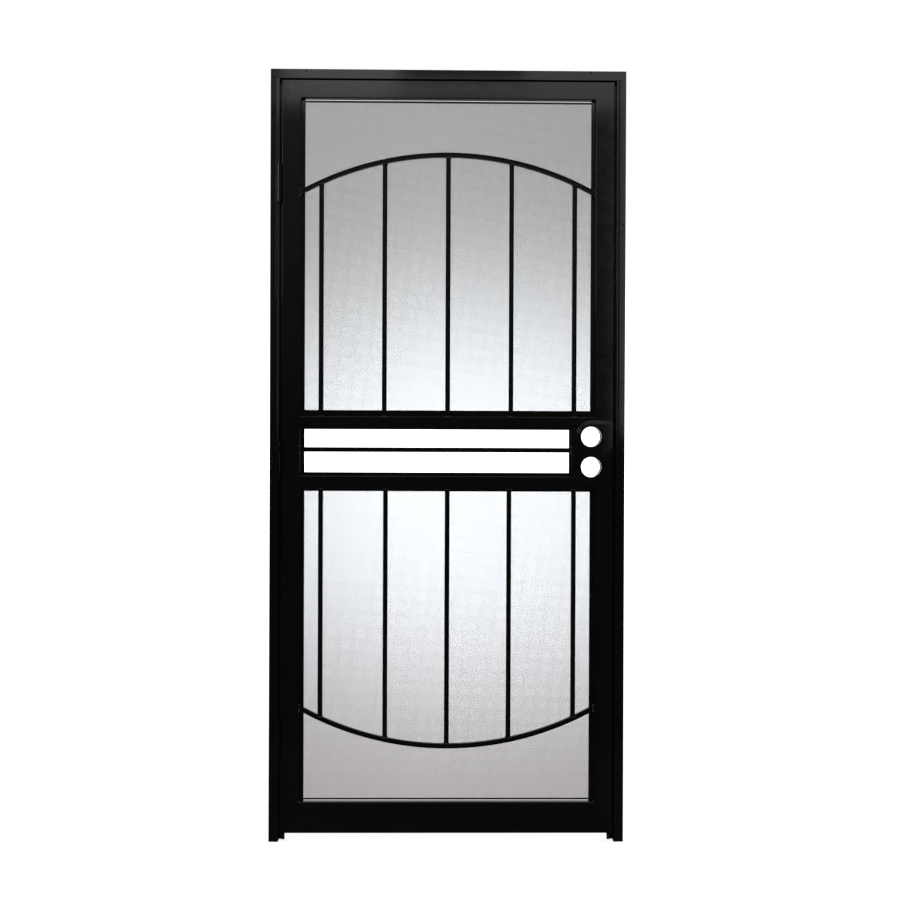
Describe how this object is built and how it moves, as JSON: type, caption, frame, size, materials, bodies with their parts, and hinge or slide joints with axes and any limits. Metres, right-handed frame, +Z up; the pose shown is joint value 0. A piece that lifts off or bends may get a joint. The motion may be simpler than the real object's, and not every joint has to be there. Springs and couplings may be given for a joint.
{
  "type": "steel storm door",
  "caption": "Outward-swinging steel security storm door: barred leaf with mesh screens, pull slots and lock bores, hinged in its surface-mounted tube frame.",
  "frame": {"origin": "middle of the hinge jamb's wall face, at its foot", "axes": "Z up, wall plane at y = 0, outside face towards -Y, lock side towards +X"},
  "size_m": [0.9525, 0.0526, 2.07],
  "materials": {
    "black_paint": "semi-gloss powder coat",
    "screen_mesh": "fine black mesh",
    "seal_rubber": "matte"
  },
  "bodies": {
    "frame": {"hinge_jamb": "black_paint", "lock_jamb": "black_paint", "header": "black_paint", "hinge_stop": "black_paint", "lock_stop": "black_paint", "head_stop": "black_paint", "hinge_seal": "seal_rubber", "lock_seal": "seal_rubber", "head_seal": "seal_rubber", "frame_hinge_bottom": "black_paint", "frame_hinge_middle": "black_paint", "frame_hinge_top": "black_paint"},
    "leaf": {"hinge_stile": "black_paint", "lock_stile": "black_paint", "top_rail": "black_paint", "upper_mid_rail": "black_paint", "lower_mid_rail": "black_paint", "bottom_rail": "black_paint", "bottom_expander": "black_paint", "bottom_sweep": "seal_rubber", "lock_box": "black_paint", "front_lock_pad": "black_paint", "back_lock_pad": "black_paint", "middle_bar": "black_paint", "upper_arch": "black_paint", "lower_arch": "black_paint", "upper_picket_1": "black_paint", "upper_picket_2": "black_paint", "upper_picket_3": "black_paint", "upper_picket_4": "black_paint", "upper_picket_5": "black_paint", "lower_picket_1": "black_paint", "lower_picket_2": "black_paint", "lower_picket_3": "black_paint", "lower_picket_4": "black_paint", "lower_picket_5": "black_paint", "upper_screen": "screen_mesh", "lower_screen": "screen_mesh", "upper_retainer": "black_paint", "lower_retainer": "black_paint", "upper_edge_strip": "black_paint", "lower_edge_strip": "black_paint", "leaf_hinge_bottom": "black_paint", "leaf_hinge_middle": "black_paint", "leaf_hinge_top": "black_paint"}
  },
  "joints": [
    {"name": "door_swing", "type": "hinge", "parent": "frame", "child": "leaf", "pos_m": [0.0107, -0.0461, 1.0215], "axis": [0, 0, -1], "range_deg": [0, 180]}
  ]
}
